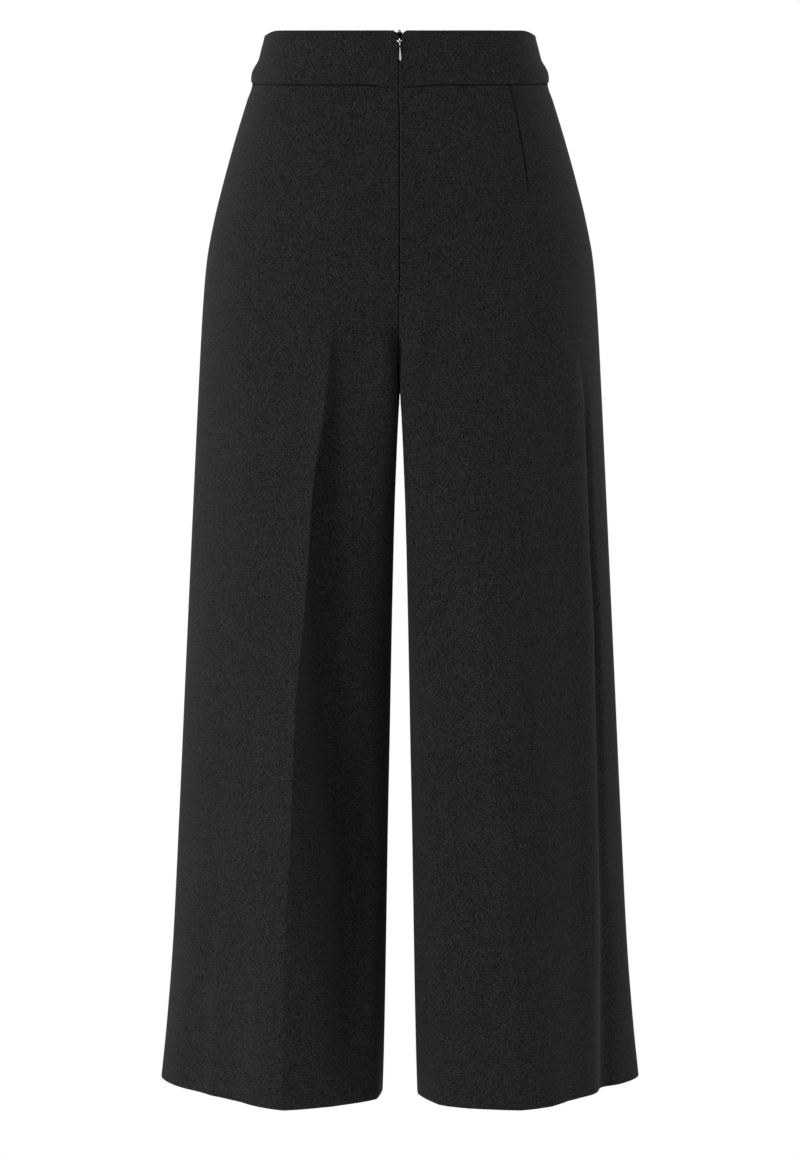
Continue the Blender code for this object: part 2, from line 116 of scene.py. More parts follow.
legGap = Measures(
    ("z", "x"),
    [(forkZ, 0.45), (-345, 1.0), (-357, 1.65), (-375, 2.5), (-400, 3.5), (-432, 4.7), (-508, 6.6),
     (-584, 8.2), (-660, 9.6), (-737, 11.2), (-815, 12.5), (-893, 13.8), (-960, 15.2),
     (hemZ, 16.4)])
# Both lips of the centre-back opening and seam, each by its distance out from the centre. Below
# the pull the right lip laps past the middle.
backEdge = {
    left: Measures(("z", "x"), [
        (0, 5.2), (-1.2, 4.2), (-3, 2.4), (-4.7, 1.6), (-8, 1.35), (-14, 1.3), (-26, 1.3),
        (-30, 1.6), (-62, 1.6), (-70, 1.2), (-78, 0.9), (-225, 0.85), (-245, 1.3),
        (-314, 1.35), (-331, 0.8), (forkZ, 0.45)]),
    right: Measures(("z", "x"), [
        (0, 5.0), (-1.2, 4.0), (-3, 2.2), (-4.7, 1.4), (-8, 1.25), (-14, 1.1), (-24, 0.6),
        (-29, -0.6), (-34, -0.85), (-62, -0.85), (-70, -0.4), (-78, -0.05), (-225, -0.05),
        (-245, -0.8), (-314, -0.9), (-331, 0), (forkZ, 0.45)])}
panelColumns = ("z", "cornerX", "cornerY", "creaseX", "creaseY",
                "inBulge", "outBulge", "outAt", "crisp")
backTop = [
    (0, 25, -87.4, 55, -83.8, 0, 22, 0.5, 0),
    (-48, 25, -94.4, 55, -90.2, 0, 24, 0.5, 0),
    (-100, 25, -106.6, 55, -103.0, 0, 28, 0.5, 0),
    (-150, 25, -116.8, 56, -113.6, 0, 31, 0.5, 0),
    (-200, 24, -124.2, 57, -121.5, 0, 34, 0.5, 0)]
backForm = {
    left: Measures(panelColumns, backTop + [
        (-240, 20, -127.0, 57, -126.0, 0, 35, 0.5, 0.0),
        (-270, 11, -124.0, 61, -127.0, 0, 34, 0.5, 0.4),
        (-300, 6.5, -119.5, 65, -127.0, 0, 32, 0.5, 0.9),
        (-345, 5, -109.5, 70, -126.0, 0, 29, 0.48, 1.0),
        (-420, 6.3, -91.0, 80, -125.5, 0, 25, 0.46, 1.0),
        (-520, 9, -71.0, 87, -125.0, 0, 21, 0.45, 1.0),
        (-600, 12, -59.0, 95, -125.0, 0, 18, 0.45, 1.0),
        (-680, 14, -56.0, 99, -125.0, 1, 16, 0.45, 0.9),
        (-770, 17, -62.0, 103, -125.0, 4, 14, 0.45, 0.7),
        (-890, 21, -76.0, 109, -125.0, 7, 12, 0.45, 0.45),
        (hemZ, 22, -88.0, 109.3, -124.7, 5, 11, 0.45, 0.35)]),
    right: Measures(panelColumns, backTop + [
        (-240, 18, -127.0, 57, -126.0, 0, 35, 0.52, 0),
        (-270, 9, -125.5, 60, -127.0, 0, 34, 0.55, 0),
        (-300, 3, -122.0, 62, -127.0, 1, 32, 0.60, 0),
        (-345, 2.4, -115.5, 64, -126.5, 2, 29, 0.65, 0),
        (-420, 6, -109.5, 68, -126.0, 3, 25, 0.67, 0),
        (-520, 13, -106.0, 73, -125.5, 3, 21, 0.68, 0),
        (-620, 19, -106.0, 80, -125.0, 3, 18, 0.675, 0),
        (-735, 27, -107.0, 94, -125.0, 3, 15, 0.64, 0),
        (-860, 34, -108.0, 105, -124.6, 4, 11.5, 0.62, 0),
        (hemZ, 38, -108.0, 113, -124.0, 5, 7.5, 0.64, 0)])}
frontForm = Measures(panelColumns, [
    (0, 25, 85.3, 58, 80.5, 0, 22, 0.5, 0),
    (-48, 25, 89.3, 60, 84.5, 0, 24, 0.5, 0),
    (-120, 25, 98.4, 64, 93.5, 0, 28, 0.5, 0.05),
    (-200, 24, 103.8, 68, 100.5, 0, 31, 0.5, 0.2),
    (-240, 19, 103.0, 71, 102.8, 0, 31, 0.5, 0.5),
    (-270, 15, 98.5, 73, 104.0, 0, 30, 0.5, 0.7),
    (-300, 14, 92.0, 76, 104.5, -1, 28, 0.5, 0.8),
    (-345, 15, 84.0, 80, 105.0, -1, 26, 0.5, 0.9),
    (-430, 16, 80.0, 86, 106.0, 0, 23, 0.5, 0.9),
    (-560, 17, 79.0, 93, 107.5, 1, 19, 0.5, 0.9),
    (-740, 20, 80.0, 103, 110.0, 2, 15, 0.5, 0.9),
    (hemZ, 25, 82.0, 112, 114.0, 4, 11, 0.5, 0.9)])


section = {
    "edgesJoin": 12,         # above the fork, both lips draw together over this height
    "tuckFrom": -285,        # from here down the inseam bends in behind the corner
    "tuckX": (0.5, 0.04),
    "tuckY": (0.5, 0.66),
    "seamKink": (-240, -300),
    "cornerKink": (-400, -650),
    "cornerSharp": 0.6,
    "samples": 90,           # from each of its points to the next
}
creaseSample, sideSample = 4 * section["samples"], 6 * section["samples"]
sampleSteps = np.linspace(0, 1, section["samples"] + 1)[1:, None]


# The points that a panel's section passes through, inner edge first, and how sharp each is.
def panelKeys(leg, face, z):
    back = face == "back"
    form = backForm[leg] if back else frontForm
    if z < forkZ:
        seam = np.array([legGap.at("x", z), 0.0])
    else:
        edgeX = backEdge[leg].at("x", z) if back else 0.0
        nearFork = ease(forkZ + section["edgesJoin"], forkZ, z)
        seam = np.array([mix(edgeX, legGap.at("x", forkZ), nearFork),
                         (backSeam if back else frontSeam).at("y", z)])
    corner = np.array([form.at("cornerX", z), form.at("cornerY", z)])
    crease = np.array([form.at("creaseX", z), form.at("creaseY", z)])
    side = np.array([sideSeam.at("x", z), sideSeam.at("y", z)])
    outward = -1.0 if back else 1.0
    tuck = ease(section["tuckFrom"], forkZ, z)
    inner = np.array([mix(seam[0], corner[0], mix(*section["tuckX"], tuck)),
                      mix(seam[1], corner[1], mix(*section["tuckY"], tuck))])

    def bulged(start, end, place, height):
        run = end - start
        across = np.array([-run[1], run[0]]) / np.linalg.norm(run) * outward
        return start + run * place + across * height

    innerMid = bulged(corner, crease, 0.5, form.at("inBulge", z))
    outerMid = bulged(crease, side, form.at("outAt", z), form.at("outBulge", z))
    seamKink = ease(*section["seamKink"], z) if z >= forkZ else 0.0
    cornerKink = section["cornerSharp"] * ease(*section["cornerKink"], z) if back else 0.0
    return ([seam, inner, corner, innerMid, crease, outerMid, side],
            [seamKink, 0, cornerKink, 0, form.at("crisp", z), 0, 0])


# Close points along both panels of one half at one height, each from its inner edge to the
# side seam, with the distance walked from the inner edge and the distance at the crease.
def halfSection(leg, z):
    backPoints, backKinks = panelKeys(leg, "back", z)
    frontPoints, frontKinks = panelKeys(leg, "front", z)
    points = backPoints + frontPoints[-2::-1]
    kinks = backKinks + frontKinks[-2::-1]
    if z < forkZ:
        around = [frontPoints[1]] + points + [backPoints[1]]
    else:
        mirror = np.array([-1.0, 1.0])
        around = [backPoints[1] * mirror] + points + [frontPoints[1] * mirror]
    arriving, leaving = [], []
    for i, kink in enumerate(kinks):
        runIn, runOut = around[i + 1] - around[i], around[i + 2] - around[i + 1]
        lengthIn, lengthOut = max(np.linalg.norm(runIn), 1e-6), max(np.linalg.norm(runOut), 1e-6)
        headIn, headOut = runIn / lengthIn, runOut / lengthOut
        smooth = (headIn * lengthOut + headOut * lengthIn) / (lengthIn + lengthOut)
        arriving.append(mix(smooth, headIn, kink))
        leaving.append(mix(smooth, headOut, kink))
    line = [points[0][None]]
    for i in range(len(points) - 1):
        run = np.linalg.norm(points[i + 1] - points[i])
        line.append(hermite(points[i], points[i + 1], leaving[i] * run, arriving[i + 1] * run,
                            sampleSteps))
    line = np.concatenate(line)
    line[:, 0] = np.maximum(line[:, 0], min(points[0][0], points[-1][0]))
    found = {}
    for face, part in (("back", line[:sideSample + 1]), ("front", line[:sideSample - 1:-1])):
        walked = np.concatenate([[0], np.cumsum(np.linalg.norm(np.diff(part, axis=0), axis=1))])
        found[face] = (part, walked, walked[creaseSample])
    return found


# Sections stand closest together about the fork.
sectionHeights = -np.concatenate([
    np.arange(0, 312, 2), np.arange(312, 327, 1), np.arange(327, 337.51, 0.25),
    np.arange(338, 345, 0.5), np.arange(345, 380, 1), np.arange(380, 1000, 3), [1000.0]])[::-1]
print("working out the sections")
halfSections = {leg: [halfSection(leg, z) for z in sectionHeights] for leg in (left, right)}


# Distances from one line to the next, close together beside both.
def spreadBetween(start, end, beside, count):
    beside = np.array(beside) * min(1.0, 0.32 * (end - start) / beside[-1])
    first, last = start + beside, end - beside[::-1]
    middle = np.linspace(first[-1], last[0], count + 2)[1:-1]
    return np.concatenate([first, middle, last])


# The outer face of one panel or band half as a grid: a column for each station across it,
# which can then be read at any height. Stations are found again at each height.
class Face:
    def __init__(self, leg, face, stationsAt, lowest, highest):
        spare = 4            # sections are kept this far past both ends
        use = (sectionHeights >= lowest - spare) & (sectionHeights <= highest + spare)
        self.heights = sectionHeights[use]
        places, headings, walks = [], [], []
        for z, wanted in zip(self.heights, use.nonzero()[0]):
            line, walked, creaseAt = halfSections[leg][wanted][face]
            stations = stationsAt(z, line, walked, creaseAt)
            heading = np.gradient(line, axis=0) / np.gradient(walked)[:, None]
            place = np.stack([np.interp(stations, walked, line[:, k]) for k in (0, 1)], axis=1)
            turned = np.stack([np.interp(stations, walked, heading[:, k]) for k in (0, 1)], axis=1)
            past = np.minimum(stations, 0) + np.maximum(stations - walked[-1], 0)
            place += turned * past[:, None]
            places.append(place)
            headings.append(turned)
            walks.append(np.stack([stations, stations - creaseAt, walked[-1] - stations], axis=1))
        places = np.array(places)
        headings = np.array(headings)
        down = np.gradient(places, self.heights, axis=0)
        across3 = np.dstack([headings, np.zeros(headings.shape[:2])])
        down3 = np.dstack([down, np.ones(down.shape[:2])])
        normals = np.cross(across3, down3)
        if face == "front":
            normals = -normals
        aboveFork = self.heights > forkZ
        byCentre = ease(0.8, 4.0, np.array(walks)[:, :, 0])     # both halves turn in side by side
        normals[aboveFork, :, 0] *= byCentre[aboveFork]
        normals /= np.linalg.norm(normals, axis=2, keepdims=True)
        self.layers = np.dstack([places, normals, np.array(walks)])

    # x, y, normal, then distances from the inner edge, from the crease and from the side seam
    def at(self, z):
        i, t = placed(self.heights, z)
        columns = np.arange(self.layers.shape[1])[None, :]
        return mix(self.layers[i, columns], self.layers[i + 1, columns], t[..., None])


edgeSteps = 6


# A turned edge: the cloth rounds the edge and runs back behind itself. Each step is the
# distance in from the edge and the depth below the outer face, hidden end first. lap presses
# neighbours into each other a little, so no light comes through their seam.
def turnedEdge(radius, turnBack, lap=0.0):
    angles = np.linspace(0, math.pi, edgeSteps + 1)
    rounded = [(radius * (1 - math.sin(a)) - lap * math.sin(a), radius * (1 + math.cos(a)))
               for a in angles]
    return [(inset, 2 * radius) for inset in turnBack] + rounded


# Depths of a row's points behind the outer face, from its turned edges.
def edgeDepths(count, edgeDeep, bothEnds=True):
    depths = np.zeros(count)
    if bothEnds:
        depths[:len(edgeDeep)] = edgeDeep
    depths[-len(edgeDeep):] = edgeDeep[::-1]
    return depths


def atEnds(count, first, last):
    return (np.arange(count) < first) | (np.arange(count) >= count - last)


def flipped(grids):
    return [grid[:, ::-1] for grid in grids]


# Sheet from a grid of points. keep says which squares are cloth.
def clothPiece(name, points, uvs, keep, wall, material):
    rows, columns = points.shape[:2]
    index = np.arange(rows * columns).reshape(rows, columns)
    quads = np.stack([index[:-1, :-1], index[:-1, 1:], index[1:, 1:], index[1:, :-1]], axis=-1)
    quads = quads[keep]
    used, quads = np.unique(quads, return_inverse=True)
    quads = quads.reshape(-1, 4)
    mesh = bpy.data.meshes.new(name)
    mesh.from_pydata((points.reshape(-1, 3)[used] * mm).tolist(), [], quads.tolist())
    layer = mesh.uv_layers.new(name="cloth")
    layer.data.foreach_set("uv", (uvs.reshape(-1, 2)[used][quads.ravel()] * mm).ravel())
    mesh.materials.append(material)
    mesh.shade_smooth()
    piece = bpy.data.objects.new(name, mesh)
    bpy.context.collection.objects.link(piece)
    shell = piece.modifiers.new("wall", "SOLIDIFY")
    shell.thickness = wall * mm
    shell.offset = -1
    return piece


# The body that a piece moves with, and the CAD node it takes the place of.
def assign(piece, body, node):
    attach(piece, body)
    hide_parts(node)


def setInputs(node, values):
    for name, value in values.items():
        node.inputs[name].default_value = value
    return node


def addNode(tree, kind, values=None):
    return setInputs(tree.nodes.new("ShaderNode" + kind), values or {})


def addTone(tree, dark, light):
    tone = addNode(tree, "Mix")
    tone.data_type = "RGBA"
    return setInputs(tone, {"A": (*dark, 1), "B": (*light, 1)})


def newMaterial(name):
    material = bpy.data.materials.new(name)
    material.use_nodes = True
    return material, material.node_tree, material.node_tree.nodes["Principled BSDF"]


# What the inputs of each of the crepe's nodes are set to.
crepe = {
    "dark": (0.0004, 0.0004, 0.0005),
    "light": (0.0285, 0.0285, 0.0290),
    # 900 crinkles and 2400 threads to a metre
    "pebble": {"Scale": 900.0, "Detail": 2.0, "Roughness": 0.75, "Distortion": 0.7},
    "thread": {"Scale": 2400.0 * math.pi / 10, "Distortion": 2.5, "Detail": 1.0,
               "Detail Scale": 2.0},
    "weaveShare": 0.08,
    "spread": {"From Min": 0.39, "From Max": 0.69},
    "cloud": {"Scale": 14.0, "Detail": 3.0},
    "cloudTone": {"From Min": 0.3, "From Max": 0.7, "To Min": 0.95, "To Max": 1.05},
    "bump": {"Strength": 0.6, "Distance": 0.00022},
    "surface": {"Roughness": 0.82, "Specular IOR Level": 0.04, "Sheen Weight": 0.048,
                "Sheen Roughness": 0.5},
}


# Heavy crepe: irregular pebbled crinkles over a tight plain weave, with hardly any sheen.
def crepeMaterial(name, look):
    material, tree, shader = newMaterial(name)
    link = tree.links.new
    place = addNode(tree, "TexCoord")
    pebble = addNode(tree, "TexNoise", look["pebble"])
    link(place.outputs["Object"], pebble.inputs["Vector"])
    cloudy = addNode(tree, "TexNoise", look["cloud"])
    link(place.outputs["Object"], cloudy.inputs["Vector"])
    threads = []
    for direction in ("X", "Y"):
        thread = addNode(tree, "TexWave", look["thread"])
        thread.wave_type = "BANDS"
        thread.bands_direction = direction
        link(place.outputs["UV"], thread.inputs["Vector"])
        threads.append(thread)
    weave = addNode(tree, "Math")
    weave.operation = "MULTIPLY"
    link(threads[0].outputs["Fac"], weave.inputs[0])
    link(threads[1].outputs["Fac"], weave.inputs[1])
    raised = addNode(tree, "Math", {1: look["weaveShare"]})
    raised.operation = "MULTIPLY_ADD"
    link(weave.outputs[0], raised.inputs[0])
    link(pebble.outputs["Fac"], raised.inputs[2])
    spread = addNode(tree, "MapRange", look["spread"])
    link(raised.outputs[0], spread.inputs["Value"])
    cloud = addNode(tree, "MapRange", look["cloudTone"])
    link(cloudy.outputs["Fac"], cloud.inputs["Value"])
    tone = addTone(tree, look["dark"], look["light"])
    link(spread.outputs["Result"], tone.inputs["Factor"])
    faded = addNode(tree, "VectorMath")
    faded.operation = "SCALE"
    link(tone.outputs["Result"], faded.inputs[0])
    link(cloud.outputs["Result"], faded.inputs["Scale"])
    link(faded.outputs["Vector"], shader.inputs["Base Color"])
    bump = addNode(tree, "Bump", look["bump"])
    link(raised.outputs[0], bump.inputs["Height"])
    link(bump.outputs["Normal"], shader.inputs["Normal"])
    setInputs(shader, look["surface"])
    return material


# The four leg panels.
panel = {
    "wall": 0.7,
    "edgeRadius": 0.8,       # how round the cloth turns in at a seam or the hem
    "seamTurn": (12.0, 8.0, 4.5, 2.0),
    "waistTurn": (5.0, 2.0),
    "hemTurn": (35.0, 29.0, 22.0, 15.0, 8.0, 3.0),
    "lap": 0.04,
    "topZ": -49.75,
    "beside": (0, 0.35, 0.8, 1.4, 2.2, 3.4, 5.2, 7.6),
    "columns": (16, 10, 14),  # between inner seam, crease, dart line and side seam
    "pastCrease": 4,         # the dart's line is looked for from here outwards
    "foldsFade": (1.5, 22),  # folds start this far from a seam and are full here
    "waistDip": 2.1,         # the waist seam hangs lower at the centre back
    "waistDipWidth": 38.0,
    "waistDipFrom": -110,
    "sideClosed": 1.28,      # at its side and centre seams it is drawn up tight under the band
    "closedFrom": -62,
    "closedBySide": (12, 3),
    "closedByCentre": (5, 1),
    "allowanceRise": 6.8,    # elsewhere its seam allowance runs up behind the band
    "allowanceDeep": (2.3, 1.9),
    "roomBySide": (8, 30),   # where the facing leaves room for that
    "roomByZip": (14, 26),
    "rows": ((-60, 1.4), (-130, 3), (-240, 5), (-296, 3), (-322.5, 1.5), (-337.1, 0.6),
             (-339.5, 0.5), (-348.5, 1), (-380, 3), (-960, 5.5), (-996, 3)),
}

# The line of the dart from the waist, and on down to the fold near the side, by x.
detailLine = {
    ("back", right): [(0, 96), (-49, 99.8), (-83, 107.8), (-112, 112.7), (-130, 115.1),
                      (-144, 116.6), (-200, 126), (-250, 145), (-300, 164), (-340, 171),
                      (-432, 175.5), (-488, 178), (-543, 182), (-653, 185.5), (-764, 188.5),
                      (-856, 190.5), (-1000, 191.5)],
    ("back", left): [(0, 104), (-49, 107), (-95, 113), (-140, 118), (-250, 135), (-400, 150),
                     (-700, 168), (-1000, 182)],
    ("front", right): [(0, 92), (-49, 96), (-120, 104), (-300, 130), (-600, 155), (-1000, 175)],
    ("front", left): [(0, 94), (-49, 98), (-120, 107), (-300, 132), (-600, 158), (-1000, 172)],
}

# Darts: how deep the stitched line is pinched, down its length.
darts = {
    ("back", right): [(-40, 1.3), (-60, 1.4), (-90, 2.1), (-128, 2.3), (-143, 1.6), (-151, 0)],
    ("back", left): [(-40, 0.3), (-110, 0.4), (-140, 0.2), (-150, 0)],
}

# Folds, pressed in one by one. Each follows a path down the panel, given as a share of the way
# from inner seam (0) over the crease (1) to the side seam (2), or runs a set way from the
# crease or from the dart's line ("beside", inwards negative). width is half the fold's breadth
# and height how far it stands out, negative for a trough. sharp brings a ridge to a line. A
# fold with a reach starts at once at its line, inwards only, and fades over that reach.
folds = {
    ("back", left): (
        {"from": "crease", "beside": 0, "reach": 36,
         "width": [(-290, 2.6), (-358, 3), (-432, 3.6), (-488, 5.5), (-543, 9.5), (-653, 16)],
         "height": [(-255, 0), (-275, -2.5), (-290, -5), (-320, -8.5), (-358, -12), (-395, -14.5),
                    (-432, -15), (-488, -13.5), (-543, -9.5), (-653, -2.5), (-720, 0)]},
        {"from": "crease",
         "beside": [(-432, -24), (-543, -31), (-653, -50), (-764, -76), (-875, -74), (-1000, -66)],
         "width": [(-432, 20), (-543, 23), (-653, 27), (-764, 29), (-875, 27), (-1000, 18)],
         "height": [(-360, 0), (-432, -3), (-488, -6.5), (-543, -11), (-653, -18), (-764, -24),
                    (-875, -17), (-940, -8), (-990, 0)]},
        {"from": "crease", "beside": [(-700, -42), (-1000, -46)], "width": 9, "sharp": 1,
         "height": [(-770, 0), (-840, 1.8), (-960, 2.0), (-1000, 1.4)]},
        {"path": [(-700, 1.42), (-1000, 1.50)], "width": 9,
         "height": [(-720, 0), (-900, 1.3), (-1000, 1.8)]},
        {"path": [(-760, 1.27), (-1000, 1.30)], "width": 12,
         "height": [(-780, 0), (-920, -1.2), (-1000, -1.6)]},
        {"path": [(-380, 1.62), (-800, 1.66), (-1000, 1.75)], "width": 22,
         "height": [(-330, 0), (-600, 1.5), (-1000, 2)]},
    ),
    ("back", right): (
        {"from": "crease", "beside": 0, "width": 3.0, "sharp": 1.2,
         "height": [(-300, 0), (-400, 0.7), (-700, 0.8), (-1000, 0.8)]},
        {"from": "crease", "beside": [(-400, -22), (-1000, -26)], "width": 16,
         "height": [(-340, 0), (-500, -1.4), (-800, -1.6), (-1000, -1.2)]},
        {"from": "detail", "beside": -15, "width": 15,
         "height": [(-270, 0), (-377, 3.4), (-543, 5.0), (-860, 4.8), (-1000, 4.0)]},
        {"from": "detail", "beside": [(-800, 3), (-890, 8), (-1000, 9)],
         "width": [(-400, 4.5), (-653, 5.5), (-800, 6), (-890, 11), (-1000, 12)],
         "height": [(-300, 0), (-377, -4.5), (-560, -5.6), (-700, -4.2), (-820, -3.4), (-890, -5.5),
                    (-1000, -6)]},
        {"path": [(-860, 1.17), (-1000, 1.20)], "width": 5,
         "height": [(-850, 0), (-940, 0.9), (-1000, 1.2)]},
        {"path": [(-860, 1.30), (-1000, 1.33)], "width": 7,
         "height": [(-850, 0), (-940, -0.9), (-1000, -1.3)]},
    ),
    ("front", left): (
        {"from": "crease", "beside": 0, "width": 3,
         "height": [(-200, 0), (-420, 0.8), (-1000, 0.9)]},
        {"path": [(-260, 0.62), (-600, 0.55), (-1000, 0.5)], "width": 16,
         "height": [(-280, 0), (-420, -2.6), (-700, -2.2), (-1000, -1.4)]},
        {"path": [(-420, 1.55), (-1000, 1.62)], "width": 17,
         "height": [(-360, 0), (-640, 2.4), (-1000, 3.2)]},
        {"path": [(-500, 1.30), (-1000, 1.34)], "width": 14,
         "height": [(-480, 0), (-760, -1.6), (-1000, -2.4)]},
    ),
    ("front", right): (
        {"from": "crease", "beside": 0, "width": 3,
         "height": [(-200, 0), (-420, 0.7), (-1000, 1.0)]},
        {"path": [(-280, 0.66), (-700, 0.58), (-1000, 0.56)], "width": 15,
         "height": [(-300, 0), (-480, -2.2), (-800, -2.4), (-1000, -1.8)]},
        {"path": [(-380, 1.46), (-1000, 1.56)], "width": 18,
         "height": [(-350, 0), (-600, 2.0), (-1000, 3.0)]},
        {"path": [(-560, 1.24), (-1000, 1.26)], "width": 12,
         "height": [(-540, 0), (-800, -1.4), (-1000, -2.0)]},
    ),
}

dartShape = {
    "half": 0.75,            # half the breadth of its stitched line
    "under": (12, 9),        # its fold lies pressed towards the centre underneath
    "underFrom": (0, 1.4),
    "underShare": 0.12,
}

# The right lip of the back opening stands a little proud, and so does its seam below.
lip = {
    "raise": [(-22, 0), (-32, 1.4), (-64, 1.8), (-90, 1.0), (-225, 0.5), (-318, 0.5), (-328, 0)],
    "middle": 1.6,
    "half": 1.1,
}


def lipRaised(fromInner, z):
    return readTable(lip["raise"], z) * np.exp(-((fromInner - lip["middle"]) / lip["half"]) ** 2)


def steady(setting, z):
    return readTable(setting, z) if isinstance(setting, list) else setting


# Where the facing stands clear of the waist seam: not at the side seams, nor beside the zip.
def facingRoom(face, fromInner, fromSide):
    room = ease(*panel["roomBySide"], fromSide)
    return room * ease(*panel["roomByZip"], fromInner) if face == "back" else room


def waistDip(x):
    return panel["waistDip"] * ease(panel["waistDipWidth"], 0, x)


def panelHeights():
    top, radius = panel["topZ"], panel["edgeRadius"]
    rows = [(top - inset, depth) for inset, depth in turnedEdge(radius, panel["waistTurn"])]
    z = top - radius
    for end, step in panel["rows"]:
        count = max(1, round((z - end) / step))
        rows += [(z + (end - z) * (i + 1) / count, 0.0) for i in range(count)]
        z = end
    edge = turnedEdge(radius, panel["hemTurn"])
    return np.array(rows + [(hemZ + inset, depth) for inset, depth in reversed(edge)])


# How much of a fold's height each point takes, by its distance from the fold's line.
def foldShape(fold, z, walk, detailWalk, innerSpan, sideSpan):
    if "from" in fold:
        start = detailWalk if fold["from"] == "detail" else 0
        away = walk - start - steady(fold["beside"], z)
    else:
        target = readTable(fold["path"], z) - 1
        away = walk - target * np.where(target < 0, innerSpan, sideSpan)
    breadth = steady(fold["width"], z)
    if "reach" in fold:
        tucked = (1 - np.exp(away / breadth)) * np.exp(-(away / fold["reach"]) ** 2)
        return np.where(away < 0, tucked, 0)
    return np.exp(-np.abs(away / breadth) ** fold.get("sharp", 2))


def legPanel(name, leg, face, material):
    radius, beside = panel["edgeRadius"], panel["beside"]
    edge = turnedEdge(radius, panel["seamTurn"], panel["lap"])
    edgeIn, edgeDeep = np.array(edge).T
    toCrease, toDetail, toSide = panel["columns"]

    def stationsAt(z, points, walked, creaseAt):
        total = walked[-1]
        outer = walked > creaseAt + panel["pastCrease"]
        detailAt = np.interp(readTable(detailLine[face, leg], z), points[outer, 0], walked[outer])
        first = spreadBetween(radius, creaseAt, beside, toCrease)
        second = spreadBetween(creaseAt, detailAt, beside, toDetail)
        third = spreadBetween(detailAt, total - radius, beside, toSide)
        return np.concatenate([edgeIn, first[1:-1], second[:-1], third[:-1], total - edgeIn[::-1]])

    form = Face(leg, face, stationsAt, hemZ, panel["topZ"])
    rowZ, rowDeep = panelHeights().T
    count = form.layers.shape[1]
    z = np.repeat(rowZ[:, None], count, axis=1)
    found = form.at(z)
    bySeams = np.maximum(ease(*panel["closedBySide"], found[..., 7]),
                         ease(*panel["closedByCentre"], found[..., 5]))
    closed = panel["sideClosed"] * bySeams * ease(panel["closedFrom"], panel["topZ"], z)
    room = facingRoom(face, found[0, :, 5], found[0, :, 7])
    z[0] += room * panel["allowanceRise"]
    if face == "back":
        z = z - waistDip(found[..., 0]) * ease(panel["waistDipFrom"], panel["topZ"], z)
    z = z + closed
    found = form.at(z)
    fromInner, walk, fromSide = found[..., 5], found[..., 6], found[..., 7]
    innerSpan, sideSpan = fromInner - walk, fromSide + walk

    # folds and dart, faded out towards the seams so that neighbouring panels still meet
    besideSeam = ease(*panel["foldsFade"], fromInner) * ease(*panel["foldsFade"], fromSide)
    detailColumn = len(edge) + 4 * len(beside) + toCrease + toDetail - 3
    detailWalk = walk[:, detailColumn][:, None]
    raisedBy = np.zeros_like(walk)
    for fold in folds[face, leg]:
        raisedBy += (readTable(fold["height"], z) * besideSeam
                     * foldShape(fold, z, walk, detailWalk, innerSpan, sideSpan))
    if (face, leg) in darts:
        pinch = readTable(darts[face, leg], z)
        away = np.abs(walk - detailWalk)
        raisedBy -= pinch * np.exp(-(away / dartShape["half"]) ** 2)
        pressed = (walk < detailWalk) & (walk > detailWalk - dartShape["under"][0])
        under = (dartShape["underShare"] * pinch * ease(*dartShape["under"], away)
                 * ease(*dartShape["underFrom"], away))
        raisedBy += np.where(pressed, under, 0)
    if (face, leg) == ("back", right):
        raisedBy += lipRaised(fromInner, z)
    deep = np.maximum(rowDeep[:, None], edgeDepths(count, edgeDeep)[None, :]) - raisedBy
    for row, depth in enumerate(panel["allowanceDeep"]):
        deep[row] += room * depth
    points = np.dstack([found[..., 0:2], z]) - found[..., 2:5] * deep[..., None]
    points[..., 0] *= leg
    uvs = np.dstack([walk * leg, z])

    # where two turnings would lie on each other, the corner is left out
    turnedRow = atEnds(len(rowZ) - 1, len(panel["waistTurn"]) + edgeSteps, len(panel["hemTurn"]))
    turnedRow |= rowZ[:-1] < hemZ + panel["hemTurn"][0] + 2
    turned = len(panel["seamTurn"])
    grids = [points, uvs, ~np.outer(turnedRow, atEnds(count - 1, turned, turned))]
    if (leg == right) == (face == "back"):
        grids = flipped(grids)
    return clothPiece(name, *grids, panel["wall"], material)


panelNames = {("back", left): "back_left", ("back", right): "back_right",
              ("front", left): "front_left", ("front", right): "front_right"}
crepeCloth = crepeMaterial("crepe", crepe)
for (face, leg), node in panelNames.items():
    side = "Left" if leg == left else "Right"
    piece = legPanel(face + side + "Cloth", leg, face, crepeCloth)
    assign(piece, "garment", node)
    print("sewed", piece.name, len(piece.data.polygons), "squares")


# The waistband, with its facing turned down inside.
band = {
    "wall": 0.7,
    "depth": 48.4,
    "edgeRadius": 0.8,
    "seamTurn": (8.0, 4.5, 2.0),
    "topRadius": 1.2,        # the top edge is turned over its interlining
    "facingZ": -54.0,        # the facing hangs a little below the waist seam inside
    "facingClear": 2.6,      # and stands this much clear of the seam behind it
    "facingBends": (-15, -42),
    "padding": 0.35,
    "seamPuff": 0.6,         # the seam's layers push the band's lower edge out
    "seamPuffOver": (-38, -47),
    "topDipSide": 5.5,       # the top edge rolls down at the side seams
    "topFlatTo": 112.0,      # and is level up to here from the centre line
    "topDipRun": 14.5,
    "topDipFront": 8.0,      # and is cut lower at the centre front
    "topDipFrontOver": (40, 120),
    "dipsEnd": -30,          # above here the top edge's dip fades in, below it the waist's
    "faceRows": 17,
    "topRows": 9,
    "facingRows": 12,
    "columns": 34,
    "beside": (0, 0.35, 0.8, 1.4, 2.2, 3.4, 5.2),
}


